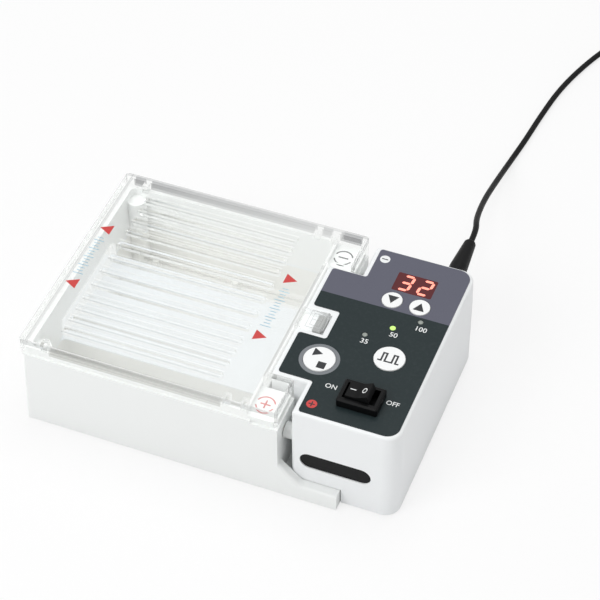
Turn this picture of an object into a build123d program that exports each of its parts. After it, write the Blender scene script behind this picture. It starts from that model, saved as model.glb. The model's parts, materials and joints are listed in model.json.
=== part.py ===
from build123d import *
import os
from math import pi, radians, tan

# Gel electrophoresis tank that docks to its own small power unit, in millimetres.
# X runs along the front from the tank to the power unit, Y to the back, Z up.
# The origin is on the table under the middle of the two docked housings.

# Tank, along X
tank_length = 122.6
ear_reach = 13.9
arm_reach = 30.4
side_draft = 2.2
# Tank, along Y
tank_depth = 127.2
end_draft = 0.6
ear_inner = 40.2
# Tank, along Z
foot_height = 0.6
ledge_height = 48.0
ear_ledge_height = 46.3
rim_rise = 4.5
ear_rise = 3.7
arm_height = 10.0
ramp_height = 11.5
basin_floor = 5.0
stage_height = 27.0
# Tank, other
tank_corner = 2.0
wall_inner = 3.8
basin_wall = 3.1
stage_depth = 60.0
basin_corner = 3.0
shell_wall = 2.2
floor_wall = 1.9
ramp_blend = 5.0
cheek_gap = 0.4
arm_edge = 1.6
post_radius = 5.0

# Lid
lid_overhang = 0.6
lid_wall = 2.0
lid_plate = 2.0
plate_gap = 4.5
lid_corner = 1.6
lid_drop = 0.2
skirt_gap = 0.3
tab_overhang = 0.2
rib_start = 16.9
rib_end = 19.5
rib_width = 3.6
rib_drop = 1.8
rib_inner_rows = (5.0, 15.0, 25.0)
rib_outer_rows = (33.0, 41.0, 49.0)
gusset_width = 3.0
gusset_depth = 4.0
gusset_from_left = 12.4
gussets_from_right = (13.0, 3.8)
key_reach = 14.8
key_width = 13.0
key_shift = -0.1
key_wall = 1.6
key_drop = 1.9
magnet_length = 4.2
magnet_height = 1.6

# Gel tray
tray_floor = 3.0
tray_wall = 2.7
tray_rise = 9.0
tray_gap = 0.5
comb_slot = 1.6
comb_slot_depth = 5.0
comb_rows = (-22.0, 0.0)

# Electrodes and terminals
wire_radius = 0.4
wire_height = 9.0
wire_end_gap = 4.0
wire_bend = 4.0
terminal_y = 52.7
terminal_height = 36.8
socket_radius = 2.9
socket_length = 11.2
socket_recess = 0.5
pin_radius = 2.0
pin_fit = 0.08
pin_reach = 13.8
clip_width = 4.0
clip_length = 3.0
clip_cover = 1.6
clip_places = (14.0, 60.0, 104.0)

# Power unit
dock_gap = 5.1
block_length = 54.0
nose_length = 18.1
unit_depth = 119.3
unit_shift = 1.15
nose_front = -38.5
nose_back = 39.6
unit_floor = 1.0
seam_height = 43.0
unit_top = 57.3
unit_corner = 8.0
unit_edge = 2.0
unit_wall = 2.2
top_wall = 2.4
cover_draft = 0.4
top_edge = 1.8
arm_gap = 0.4
lip_wall = 1.2
lip_rise = 2.0
lip_fit = 0.1
sleeve_radius = 4.1
sleeve_gap = 0.4
slot_length = 36.4
slot_height = 10.0
slot_middle_x = 66.5
slot_middle_z = 25.0
slot_recess = 0.6
slot_panel = 1.8
slot_flange = 1.5
key_gap = 0.3
screw_radius = 1.3
screw_head = 2.6
screw_head_height = 2.0
boss_radius = 3.6
screw_seat = 12.0
screw_bite = 8.0
unit_foot_radius = 4.0
tank_foot_radius = 4.5

# Control panel
overlay_thickness = 0.4
overlay_margin = 2.0
overlay_left_margin = 3.1
overlay_corner = 1.5
overlay_end_corner = 6.5
notch_reach = 43.0
notch_front = -9.0
notch_back = 10.4
window = (60.9, 81.6, 34.1, 46.9)
window_corner = 0.8
module_margin = 1.0
run_button = (44.7, -22.6, 7.9)
voltage_button = (76.1, -10.3, 7.75)
down_button = (64.1, 27.0, 5.2)
up_button = (78.5, 27.0, 5.2)
button_proud = 0.5
button_travel = 0.8
button_gap = 0.25
button_flange = 0.9
button_flange_height = 1.0
flange_gap = 0.15
stem_radius = 1.75
switch_size = 6.0
switch_height = 3.4
led_radius = 1.5
led_places = ((82.1, 18.0), (70.8, 9.2), (59.5, 0.6))
led_proud = 0.2

# Rocker switch
rocker_middle = (72.6, -40.1)
bezel_length = 20.6
bezel_width = 14.6
bezel_top = 62.5
bezel_edge = 0.8
housing_inset = 0.9
housing_drop = 9.0
rocker_half = 5.8
rocker_width = 9.6
rocker_tilt = 14.0
rocker_pivot = 60.5
rocker_valley = 3.7
rocker_gap = 0.5
rocker_side_gap = 0.2
rocker_pin_radius = 1.0
rocker_pin_fit = 0.05
rocker_root = 3.2
spade = (6.3, 0.8, 7.0)

# Circuit board and what it carries
board_top = 49.6
board_thickness = 1.6
board_inset = 4.0
board_posts = ((90.5, 14.0), (90.5, -24.0), (51.0, 52.5), (52.5, -48.5), (35.0, 22.0))
board_post_radius = 2.0
reed_radius = 1.2
reed_length = 13.0
coil_place = (76.0, 8.0)
coil_size = (18.0, 16.0, 13.0)
capacitor_places = ((58.0, -14.0), (58.0, 2.0), (58.0, 18.0))
capacitor_radius = 5.0
capacitor_height = 16.0

# Jack, plug and lead
jack_x = 81.1
jack_z = 34.0
jack_radius = 5.6
jack_depth = 13.0
jack_bore = 2.8
jack_pin = 1.0
plug_gap = 0.2
plug_fit = 0.06
plug_radius = 4.75
plug_body = 22.0
plug_length = 41.6
plug_tip_radius = 2.7
lead_diameter = 3.2
coil_ring_radius = 18.6
coil_ring_width = 10.4
coil_ring_height = 9.9
ring_middle = (129.0, 366.0)
adapter_size = (32.0, 50.0, 27.0)
adapter_corner = 4.0
adapter_middle = (178.0, 313.0)
adapter_nose_length = 9.0
adapter_nose_radius = 3.4
blade = (1.5, 6.3, 16.0)
blade_spacing = 12.7

# Places worked out from the sizes
total_length = tank_length + ear_reach + dock_gap + block_length
tank_left = -total_length / 2
tank_right = tank_left + tank_length
ear_right = tank_right + ear_reach
arm_end = ear_right + arm_reach
block_left = ear_right + dock_gap
unit_right = block_left + block_length
nose_left = block_left - nose_length
half_depth = tank_depth / 2
unit_front = unit_shift - unit_depth / 2
unit_back = unit_shift + unit_depth / 2
ledge_left = tank_left + side_draft
lid_left = ledge_left - lid_overhang
lid_right = tank_right + lid_overhang - tab_overhang
tab_right = ear_right + tab_overhang
tab_inner = ear_inner - tab_overhang
rim_top = ledge_height + rim_rise
ear_top = ear_ledge_height + ear_rise
plate_under = rim_top + plate_gap
lid_top = plate_under + lid_plate
basin_left = ledge_left + wall_inner
basin_right = tank_right - basin_wall
basin_half = half_depth - wall_inner - 0.2
stage_half = stage_depth / 2
cover_under = unit_top - top_wall
overlay_top = unit_top + overlay_thickness
button_top = overlay_top + button_proud
board_under = board_top - board_thickness
key_right = lid_right + key_reach
key_front = key_shift - key_width / 2
key_back = key_shift + key_width / 2
key_under = plate_under - key_drop
boss_places = (
    (unit_right - unit_wall - boss_radius - 1.4, unit_front + unit_wall + boss_radius + 1.4),
    (unit_right - unit_wall - boss_radius - 1.4, unit_back - unit_wall - boss_radius - 1.4),
    (nose_left + unit_wall + boss_radius - 0.6, nose_front + unit_wall + boss_radius - 0.6),
    (nose_left + unit_wall + boss_radius - 0.6, nose_back - unit_wall - boss_radius + 0.6),
)


def block(x0, x1, y0, y1, z0, z1, corner=0.0):
    """A prism on a rectangle, with its upright edges rounded by corner."""
    if corner > 0:
        face = RectangleRounded(x1 - x0, y1 - y0, corner)
    else:
        face = Rectangle(x1 - x0, y1 - y0)
    return extrude(Pos((x0 + x1) / 2, (y0 + y1) / 2, z0) * face, amount=z1 - z0)


def post(x, y, z0, z1, radius):
    """An upright round post."""
    return extrude(Pos(x, y, z0) * Circle(radius), amount=z1 - z0)


def rod_x(x0, x1, y, z, radius):
    """A round bar along X."""
    face = Plane(origin=(x0, y, z), z_dir=(1, 0, 0)) * Circle(radius)
    return extrude(face, amount=x1 - x0)


def rod_y(x, y0, y1, z, radius):
    """A round bar along Y."""
    face = Plane(origin=(x, y0, z), z_dir=(0, 1, 0)) * Circle(radius)
    return extrude(face, amount=y1 - y0)


def prism_y(face, y0, y1):
    """A face drawn in X and Z, run from y0 to y1."""
    return extrude(Plane.XZ.offset(-y1) * face, amount=y1 - y0)


def near(face, places, radius):
    """Round the corners of a flat face that lie at the given places."""
    for place in places:
        corner = min(face.vertices(), key=lambda v: (v.X - place[0]) ** 2 + (v.Y - place[1]) ** 2)
        face = fillet(corner, radius)
    return face


def deck_plan(inset, z, right, ear, inner, left=None, half=None):
    """Plan of the tank's deck: a rectangle with an ear at each right corner, drawn in by inset."""
    a = (ledge_left if left is None else left) + inset
    o = (half_depth if half is None else half) - inset
    r = right - inset
    e = ear - inset
    i = inner + inset
    points = [(a, -o), (e, -o), (e, -i), (r, -i), (r, i), (e, i), (e, o), (a, o)]
    return Pos(0, 0, z) * make_face(Polyline(*points, close=True)), points


def unit_plan(inset, z):
    """Plan of the power unit: a block with a nose that fills the space between the ears."""
    a = nose_left + inset
    b = block_left + inset
    c = unit_right - inset
    f = unit_front + inset
    k = unit_back - inset
    m = nose_front + inset
    n = nose_back - inset
    points = [(b, f), (c, f), (c, k), (b, k), (b, n), (a, n), (a, m), (b, m)]
    face = make_face(Polyline(*points, close=True))
    face = near(face, [(c, f), (c, k)], unit_corner - inset)
    face = near(face, [(b, f), (b, k), (a, n), (a, m)], max(unit_edge - inset, 0.4))
    return Pos(0, 0, z) * face


# The tank and what is fixed to it

def tank_envelope():
    """The drafted outside of the tank, its ears and its two docking arms."""
    spare = arm_end + 20
    sections = []
    for z, draft, end in ((foot_height, 0.0, 0.0), (ledge_height, side_draft, end_draft)):
        width = spare - tank_left - draft
        depth = tank_depth - 2 * end
        middle = (spare + tank_left + draft) / 2
        sections.append(Pos(middle, 0, z) * RectangleRounded(width, depth, tank_corner))
    return loft(sections)


def over_arm():
    """The space above the arms, where a cheek with a ramp at 45 degrees stays outside the power unit."""
    high = ledge_height + 20
    foot = (ear_right + ramp_height, arm_height)
    points = [
        (ear_right, high),
        (ear_right, arm_height + ramp_height),
        foot,
        (arm_end + 40, arm_height),
        (arm_end + 40, high),
    ]
    face = near(make_face(Polyline(*points, close=True)), [foot], ramp_blend)
    cut = prism_y(face, -half_depth - 5, half_depth + 5)
    front = unit_front - cheek_gap
    back = unit_back + cheek_gap
    return cut + block(ear_right, arm_end + 40, front, back, arm_height, high)


def basin():
    """The space for buffer: two reservoirs with the gel stage between them."""
    top = rim_top + 5
    cut = block(basin_left, basin_right, -basin_half, basin_half, stage_height, top, basin_corner)
    for side in (-1, 1):
        near_y, far_y = sorted((side * stage_half, side * basin_half))
        pit = block(basin_left, basin_right, near_y, far_y, basin_floor, stage_height + 1, basin_corner)
        low = pit.faces().sort_by(Axis.Z)[0].edges()
        cut += fillet(low, basin_corner * 0.6)
    return cut


def under_side():
    """The hollows of the moulding's underside: below the floor, the stage, the ears and the arms."""
    low = foot_height - 1
    skin = shell_wall
    cut = block(
        tank_left + skin + side_draft, tank_right - skin, -half_depth + skin + end_draft,
        half_depth - skin - end_draft, low, basin_floor - floor_wall, basin_corner,
    )
    cut += block(
        basin_left + skin, basin_right - skin, -stage_half + skin, stage_half - skin,
        low, stage_height - skin, basin_corner,
    )
    for side in (-1, 1):
        near_y, far_y = sorted((side * (ear_inner + skin), side * (half_depth - skin - end_draft)))
        ear_ceiling = terminal_height - socket_radius - skin
        cut += block(tank_right + skin, ear_right - skin, near_y, far_y, low, ear_ceiling, 1.0)
        cut += block(ear_right - skin - 1, arm_end - skin, near_y, far_y, low, arm_height - skin)
    return cut


def wire_path(side):
    """A wire along the reservoir's floor, up its right wall and out to the terminal."""
    y = side * terminal_y
    riser = basin_right - wire_end_gap
    points = [
        (tank_right + shell_wall, y, terminal_height),
        (riser, y, terminal_height),
        (riser, y, wire_height),
        (basin_left + wire_end_gap, y, wire_height),
    ]
    return FilletPolyline(*points, radius=wire_bend)


def wire(side):
    """One electrode wire."""
    path = wire_path(side)
    return sweep(Plane(origin=path @ 0, z_dir=path % 0) * Circle(wire_radius), path=path)


def tank_body():
    """The tank moulding: basin, stage, rim, ears, arms and terminal seats."""
    body = tank_envelope()
    high = ledge_height + 20
    far = arm_end + 60
    body -= block(tank_right, far, -ear_inner, ear_inner, -1, high)
    body -= over_arm()
    body -= block(arm_end, far, -tank_depth, tank_depth, -1, high)
    body -= block(tank_right, far, -tank_depth, tank_depth, ear_ledge_height, high)
    edges = [
        e for e in body.edges()
        if abs(e.center().Z - arm_height) < 0.05 and abs(e.center().Y) > half_depth - 1.0
        and e.center().X > ear_right + ramp_height
    ]
    body = fillet(edges, arm_edge)
    inset = lid_wall + skirt_gap
    flat = make_face(Polyline(
        (lid_left + inset, -half_depth + inset), (lid_right - inset, -half_depth + inset),
        (lid_right - inset, half_depth - inset), (lid_left + inset, half_depth - inset), close=True,
    ))
    body += extrude(Pos(0, 0, ledge_height - 1) * flat, amount=rim_rise + 1)
    for side in (-1, 1):
        near_y, far_y = sorted((side * (tab_inner + inset), side * (half_depth - inset)))
        body += block(
            lid_right - inset - 1, tab_right - inset, near_y, far_y, ear_ledge_height - 1, ear_top, 0.8,
        )
    body -= basin()
    for side in (-1, 1):
        place = side * (basin_half - post_radius + 1.5)
        body += post(basin_left + post_radius - 1.5, place, basin_floor - 1, ledge_height, post_radius)
    body -= under_side()
    for side in (-1, 1):
        y = side * terminal_y
        body -= rod_x(ear_right - socket_recess - socket_length, far, y, terminal_height, socket_radius)
        body -= wire(side)
    return body


def wire_clips():
    """Small posts on the reservoir floors that hold each wire clear of the floor."""
    group = []
    for side in (-1, 1):
        for place in clip_places:
            x = basin_left + place
            top = wire_height + clip_cover
            y = side * terminal_y
            foot = Pos(x, y, basin_floor) * RectangleRounded(clip_length + 1, clip_width + 1, 0.8)
            stem = loft([foot, Pos(x, y, top) * RectangleRounded(clip_length, clip_width, 0.8)])
            hole = rod_x(x - clip_length, x + clip_length, y, wire_height, wire_radius + 0.05)
            group.append(stem - hole)
    return group


def terminal(side):
    """A brass socket seated in the ear, open towards the power unit."""
    right = ear_right - socket_recess
    y = side * terminal_y
    tube = rod_x(right - socket_length, right, y, terminal_height, socket_radius)
    return tube - rod_x(right - socket_length + 1.5, right + 1, y, terminal_height, pin_radius + pin_fit)


def tank_feet():
    """Round rubber feet under the tank's floor."""
    group = []
    for x in (tank_left + side_draft + 12, tank_right - 12):
        for side in (-1, 1):
            y = side * (half_depth - 14)
            group.append(post(x, y, 0, basin_floor - floor_wall, tank_foot_radius))
    return group


# The gel tray

def gel_tray():
    """An open-ended tray with a raised wall at each end of the gel and slots for a comb."""
    left = basin_left + tray_gap
    right = basin_right - tray_gap
    top = stage_height + tray_floor + tray_rise
    points = [
        (left, stage_height), (right, stage_height), (right, top), (right - tray_wall, top),
        (right - tray_wall, stage_height + tray_floor), (left + tray_wall, stage_height + tray_floor),
        (left + tray_wall, top), (left, top),
    ]
    tray = prism_y(make_face(Polyline(*points, close=True)), -stage_half, stage_half)
    upright = [e for e in tray.edges().filter_by(Axis.Z) if e.center().Z > stage_height + tray_floor]
    tray = fillet(upright, tray_wall * 0.45)
    for row in comb_rows:
        for x in (left + tray_wall, right - tray_wall):
            tray -= block(
                x - tray_wall / 2, x + tray_wall / 2, row - comb_slot / 2, row + comb_slot / 2,
                top - comb_slot_depth, top + 1,
            )
    return tray


# The clear lid

def rib(y):
    """One round-ended rib under the lid's plate."""
    left = lid_left + rib_start
    right = lid_right - rib_end
    face = Pos((left + right) / 2, y, plate_under - rib_drop) * SlotOverall(right - left, rib_width)
    return extrude(face, amount=rib_drop + 0.5)


def gussets():
    """Stays between skirt and plate that stand on the tank's rim."""
    group = []
    places = [lid_left + gusset_from_left] + [lid_right - place for place in gussets_from_right]
    for x in places:
        for side in (-1, 1):
            near_y, far_y = sorted((
                side * (half_depth - lid_wall - gusset_depth), side * (half_depth - lid_wall + 0.5),
            ))
            group.append(block(x - gusset_width / 2, x + gusset_width / 2, near_y, far_y, rim_top, plate_under + 0.5))
    return group


def lid():
    """The clear lid: plate, skirt, two tabs over the ears, ribs, gussets and the interlock key."""
    outer, points = deck_plan(0, 0, lid_right, tab_right, tab_inner, lid_left)
    outer = near(outer, [points[i] for i in (0, 1, 2, 5, 6, 7)], lid_corner)
    inner, marks = deck_plan(lid_wall, 0, lid_right, tab_right, tab_inner, lid_left)
    skirt = ledge_height + lid_drop
    tab_skirt = ear_ledge_height + lid_drop
    shape = extrude(Pos(0, 0, tab_skirt) * outer, amount=lid_top - tab_skirt)
    shape -= block(
        lid_left - 5, tank_right + 0.1, -tank_depth, tank_depth, tab_skirt - 1, skirt,
    )
    shape -= block(lid_left - 5, tab_right + 5, -tab_inner, tab_inner, tab_skirt - 1, skirt)
    top = shape.faces().sort_by(Axis.Z)[-1].edges()
    shape = fillet(top, 0.5)
    shape -= extrude(Pos(0, 0, tab_skirt - 1) * inner, amount=plate_under - tab_skirt + 1)
    key = block(lid_right - 0.5, key_right, key_front, key_back, key_under, lid_top)
    key = fillet([e for e in key.edges().filter_by(Axis.Z) if e.center().X > lid_right], 1.2)
    shape += key - block(
        lid_right + key_wall, key_right - key_wall, key_front + key_wall, key_back - key_wall,
        key_under - 1, plate_under,
    )
    rows = [side * y for y in rib_inner_rows + rib_outer_rows for side in (-1, 1)]
    for y in rows:
        shape += rib(y)
    for gusset in gussets():
        shape += gusset
    return shape


def interlock_magnet():
    """The small block under the key's plate that closes the switch in the power unit."""
    right = key_right - key_wall
    return block(
        right - magnet_length, right, key_front + key_wall, key_back - key_wall,
        plate_under - magnet_height, plate_under,
    )


# The power unit's housing

def arm_tunnel(side, grown):
    """The space that an arm of the tank slides into, grown by a wall or by nothing."""
    start = nose_front + grown if side < 0 else nose_back - grown
    near_y, far_y = sorted((start, side * tank_depth))
    top = arm_height + arm_gap + grown
    return block(nose_left - 20, arm_end + dock_gap * 0.1 + grown, near_y, far_y, -5, top)


def front_slot(grown, y0, y1):
    """The round-ended slot in the front wall."""
    face = Pos(slot_middle_x, slot_middle_z) * SlotOverall(slot_length + 2 * grown, slot_height + 2 * grown)
    return prism_y(face, y0, y1)


def pin_bar(side, x0, x1, radius):
    """A bar on the axis of an output pin."""
    return rod_x(x0, x1, side * terminal_y, terminal_height, radius)


def case_screw(x, y, grown=0.0):
    """A countersunk case screw from below, or its clearance."""
    seat = unit_floor + screw_seat
    top = seam_height + screw_bite
    head = post(x, y, seat, seat + screw_head_height, screw_head + grown)
    return head + post(x, y, seat, top, screw_radius + grown)


def psu_base():
    """The lower shell: walls, floor, roofs over the arms, screw columns and a lip at the seam."""
    body = extrude(unit_plan(0, unit_floor), amount=seam_height - unit_floor)
    hollow = extrude(unit_plan(unit_wall, unit_floor + unit_wall), amount=seam_height)
    for side in (-1, 1):
        body -= arm_tunnel(side, 0.0)
        hollow -= arm_tunnel(side, unit_wall)
    body -= hollow
    start = seam_height - 3
    ring = extrude(unit_plan(unit_wall, start), amount=3)
    ring += extrude(unit_plan(unit_wall + lip_fit, seam_height), amount=lip_rise)
    ring -= extrude(unit_plan(unit_wall + lip_fit + lip_wall, start - 1), amount=3 + lip_rise + 2)
    for x, y in boss_places:
        ring -= post(x, y, seam_height, seam_height + lip_rise + 1, boss_radius + lip_fit)
    body += ring
    for x, y in boss_places:
        body += post(x, y, unit_floor, seam_height, boss_radius)
        body -= post(x, y, unit_floor - 1, unit_floor + screw_seat + screw_head_height, screw_head + 0.2)
        body -= post(x, y, unit_floor, seam_height + 1, screw_radius + 0.2)
    body -= front_slot(0, unit_front - 1, unit_front + unit_wall + 1)
    body -= rod_y(jack_x, unit_back - unit_wall - 1, unit_back + 1, jack_z, jack_radius)
    for side in (-1, 1):
        body -= pin_bar(side, block_left - 1, block_left + unit_wall + lip_wall + 2, pin_radius)
    return body


def psu_top_cover():
    """The upper shell, drafted, with its openings, screw bosses, board posts and interlock channel."""
    shape = loft([unit_plan(0, seam_height), unit_plan(cover_draft, unit_top)])
    shape = fillet(shape.faces().sort_by(Axis.Z)[-1].edges(), top_edge)
    shape -= extrude(unit_plan(unit_wall, seam_height - 1), amount=cover_under - seam_height + 1)
    floor = key_under - key_gap
    left = nose_left - 1
    right = key_right + key_gap
    front = key_front - key_gap
    back = key_back + key_gap
    shape += block(
        nose_left + unit_wall - 0.5, right + unit_wall, front - unit_wall, back + unit_wall,
        floor - unit_wall, cover_under + 0.5,
    )
    shape -= block(left, right, front, back, floor, unit_top + 1)
    for x, y in boss_places:
        shape += post(x, y, seam_height, cover_under + 0.5, boss_radius)
        shape -= post(x, y, seam_height - 1, seam_height + screw_bite, screw_radius)
    for x, y in board_posts:
        shape += post(x, y, board_top, cover_under + 0.5, board_post_radius)
    for x, y, radius in (run_button, voltage_button, down_button, up_button):
        shape -= post(x, y, cover_under - 1, unit_top + 1, radius + button_gap)
    for x, y in led_places:
        shape -= post(x, y, cover_under - 1, unit_top + 1, led_radius)
    shape -= block(*window, cover_under - 1, unit_top + 1, window_corner)
    shape -= rocker_hole(cover_under - 1, unit_top + 1)
    return shape


def rocker_hole(z0, z1):
    """The panel's cut-out for the rocker switch housing."""
    x, y = rocker_middle
    half = bezel_length / 2 - housing_inset
    wide = bezel_width / 2 - housing_inset
    return block(x - half, x + half, y - wide, y + wide, z0, z1, 0.6)


def control_overlay():
    """The printed panel film, with a notch at the interlock and holes for what passes through."""
    b = block_left + overlay_left_margin
    a = nose_left + overlay_left_margin
    c = unit_right - overlay_margin
    f = unit_front + overlay_margin
    k = unit_back - overlay_margin
    m = nose_front + overlay_margin
    n = nose_back - overlay_margin
    points = [
        (b, f), (c, f), (c, k), (b, k), (b, n), (a, n), (a, notch_back), (notch_reach, notch_back),
        (notch_reach, notch_front), (a, notch_front), (a, m), (b, m),
    ]
    face = near(make_face(Polyline(*points, close=True)), [(c, f), (c, k)], overlay_end_corner)
    rest = [p for p in points if p not in ((c, f), (c, k))]
    face = near(face, rest, overlay_corner)
    film = extrude(Pos(0, 0, unit_top) * face, amount=overlay_thickness)
    low = unit_top - 1
    high = overlay_top + 1
    for x, y, radius in (run_button, voltage_button, down_button, up_button):
        film -= post(x, y, low, high, radius + button_gap)
    for x, y in led_places:
        film -= post(x, y, low, high, led_radius)
    film -= block(*window, low, high, window_corner)
    return film - rocker_hole(low, high)


def display_window():
    """The red filter over the digits, flush with the panel film."""
    return block(*window, cover_under, overlay_top, window_corner)


def display_module():
    """The two-digit display body on the board."""
    x0, x1, y0, y1 = window
    grow = module_margin
    return block(x0 - grow, x1 + grow, y0 - grow, y1 + grow, board_top, cover_under)


def leds():
    """Three round indicator lamps with domed tops."""
    group = []
    for x, y in led_places:
        top = overlay_top + led_proud
        body = post(x, y, board_top, top, led_radius)
        group.append(fillet(body.faces().sort_by(Axis.Z)[-1].edges(), led_radius * 0.6))
    return group


def button(place):
    """A keycap with a flange that holds it under the cover and a stem down to its switch."""
    x, y, radius = place
    cap = post(x, y, cover_under - flange_gap - button_flange_height, button_top, radius)
    cap = fillet(cap.faces().sort_by(Axis.Z)[-1].edges(), 0.4)
    top = cover_under - flange_gap
    cap += post(x, y, top - button_flange_height, top, radius + button_flange)
    return cap + post(x, y, board_top + button_travel + 0.4, top, stem_radius)


def tact_switches():
    """Four small switches on the board, each with a well for a button's stem."""
    group = []
    half = switch_size / 2
    for x, y, _ in (run_button, voltage_button, down_button, up_button):
        case = block(x - half, x + half, y - half, y + half, board_top, board_top + switch_height - 1.2, 0.5)
        group.append(case - post(x, y, board_top + 0.2, board_top + switch_height, stem_radius + 0.3))
    return group


# The rocker switch

def rocker_housing():
    """The switch body with its bezel above the panel and two spade terminals below."""
    x, y = rocker_middle
    bezel = block(
        x - bezel_length / 2, x + bezel_length / 2, y - bezel_width / 2, y + bezel_width / 2,
        overlay_top, bezel_top, 0.8,
    )
    bezel = chamfer(bezel.faces().sort_by(Axis.Z)[-1].edges(), bezel_edge)
    body = bezel + rocker_hole(unit_top - housing_drop, overlay_top)
    swing = rocker_half + 2.4
    wide = rocker_width / 2 + rocker_side_gap
    low = rocker_pivot - rocker_root - rocker_gap
    body -= block(x - swing, x + swing, y - wide, y + wide, low, bezel_top + 1)
    body -= rod_y(x, y - wide - 1.4, y + wide + 1.4, rocker_pivot, rocker_pin_radius + rocker_pin_fit)
    for place in (-4.5, 4.5):
        thick = spade[1] / 2
        broad = spade[0] / 2
        low_end = unit_top - housing_drop - spade[2]
        body += block(
            x + place - thick, x + place + thick, y - broad, y + broad, low_end, unit_top - housing_drop + 1,
        )
    return body


def rocker():
    """The paddle, pressed on its left end, with a pivot pin at each side."""
    x, y = rocker_middle
    rise = rocker_half * tan(radians(rocker_tilt))
    points = [
        (-rocker_half, rocker_valley + rise), (0, rocker_valley), (rocker_half, rocker_valley + rise),
        (rocker_half + 0.3, 1.2), (rocker_root, -1.6), (0, -rocker_root), (-rocker_root, -1.6),
        (-rocker_half - 0.3, 1.2),
    ]
    face = near(make_face(Polyline(*points, close=True)), [points[0], points[2]], 0.5)
    face = near(face, [points[1]], 6.0)
    paddle = prism_y(face, -rocker_width / 2, rocker_width / 2)
    reach = rocker_width / 2 + rocker_side_gap + 1.2
    paddle += rod_y(0, -reach, reach, 0, rocker_pin_radius)
    return Pos(x, y, rocker_pivot) * Rot(0, -rocker_tilt, 0) * paddle


# Inside the power unit

def circuit_board():
    """The board that hangs under the cover, cut out for the rocker switch and the bosses."""
    board = extrude(unit_plan(board_inset, board_under), amount=board_thickness)
    x, y = rocker_middle
    half = bezel_length / 2 + 0.5
    wide = bezel_width / 2 + 0.5
    board -= block(x - half, x + half, y - wide, y + wide, board_under - 1, board_top + 1)
    for bx, by in boss_places:
        board -= post(bx, by, board_under - 1, board_top + 1, boss_radius + 0.5)
    return board


def reed_switch():
    """The interlock's glass reed on the board, under the key."""
    x = key_right - key_wall - magnet_length / 2
    z = board_top + reed_radius
    return rod_y(x, key_shift - reed_length / 2, key_shift + reed_length / 2, z, reed_radius)


def boost_coil():
    """The converter's wound core, hung under the board."""
    x, y = coil_place
    a, b, h = coil_size
    top = board_under
    core = block(x - a / 2, x + a / 2, y - b / 2, y + b / 2, top - h, top, 1.0)
    window_x = a / 2 - 2.6
    core -= block(x - window_x, x + window_x, y - b, y + b, top - h + 3, top - 3)
    winding = block(x - window_x + 1, x + window_x - 1, y - b / 2 - 1.5, y + b / 2 + 1.5, top - h + 3, top - 3, 2.0)
    return core + winding


def capacitors():
    """Three smoothing capacitors, hung under the board."""
    group = []
    for x, y in capacitor_places:
        can = post(x, y, board_under - capacitor_height, board_under, capacitor_radius)
        group.append(fillet(can.faces().sort_by(Axis.Z)[0].edges(), 0.8))
    return group


def slot_insert():
    """The dark panel behind the front slot, clipped from inside."""
    face_y = unit_front + slot_recess
    inner = unit_front + unit_wall
    panel = front_slot(0, face_y, inner)
    return panel + front_slot(slot_flange, inner, inner + slot_panel)


def output_sleeves():
    """The collars on the block's left walls that the output pins pass through."""
    group = []
    for side in (-1, 1):
        collar = pin_bar(side, ear_right + sleeve_gap, block_left, sleeve_radius)
        group.append(collar - pin_bar(side, ear_right, block_left + 1, pin_radius))
    return group


def output_pins():
    """Two pins that carry the output into the tank's terminals."""
    group = []
    for side in (-1, 1):
        start = block_left - pin_reach
        pin = pin_bar(side, start, block_left + unit_wall + lip_wall + 2, pin_radius)
        pin = fillet(pin.faces().sort_by(Axis.X)[0].edges(), pin_radius * 0.5)
        group.append(pin)
    return group


def psu_feet():
    """Round rubber feet under the power unit."""
    inner = nose_left + 6.5
    outer = unit_right - 12
    places = [
        (inner, nose_front + 10), (inner, nose_back - 10),
        (outer, unit_front + 14), (outer, unit_back - 14),
    ]
    return [post(x, y, 0, unit_floor, unit_foot_radius) for x, y in places]


def case_screws():
    """The four screws that close the housing."""
    return [case_screw(x, y) for x, y in boss_places]


# The power lead

def dc_jack():
    """The barrel jack in the rear wall, with its centre pin."""
    y1 = unit_back
    y0 = y1 - jack_depth
    body = rod_y(jack_x, y0, y1, jack_z, jack_radius)
    body -= rod_y(jack_x, y0 + 2, y1 + 1, jack_z, jack_bore)
    return body + rod_y(jack_x, y0 + 1, y1 - 1, jack_z, jack_pin)


def dc_plug():
    """The plug: barrel, grip and a strain relief that tapers to the lead."""
    y0 = unit_back + plug_gap
    tip = unit_back + plug_length
    grip_end = y0 + plug_body
    points = [
        (0, y0), (plug_radius - 0.6, y0), (plug_radius, y0 + 0.6), (plug_radius, grip_end),
        (plug_tip_radius + 0.5, tip - 1.0), (plug_tip_radius, tip), (0, tip),
    ]
    profile = near(make_face(Polyline(*points, close=True)), [points[3]], 20.0)
    grip = Pos(jack_x, 0, jack_z) * revolve(profile, Axis.Y)
    barrel = rod_y(jack_x, unit_back - jack_depth + 3, y0 + 1, jack_z, jack_bore - plug_fit)
    barrel -= rod_y(jack_x, unit_back - jack_depth, y0, jack_z, jack_pin + 0.1)
    return grip + barrel


lead_points = [
    (jack_x, unit_back + plug_length, jack_z),
    (81.1, 112.4, 34.0),
    (77.0, 125.2, 29.4),
    (73.7, 151.0, 19.4),
    (72.6, 180.0, 8.6),
    (72.9, 203.6, 1.8),
    (75.6, 224.6, 1.75),
    (77.6, 247.0, 1.75),
    (81.4, 276.0, 1.75),
    (90.5, 306.0, 1.75),
    (101.5, 330.0, 1.75),
    (109.8, 354.0, 2.4),
]
tail_points = [
    (139.5, 386.4, 2.4),
    (157.0, 387.2, 1.75),
    (172.0, 379.0, 2.1),
    (177.8, 362.5, 2.9),
    (178.0, 347.0, 3.6),
]


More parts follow.
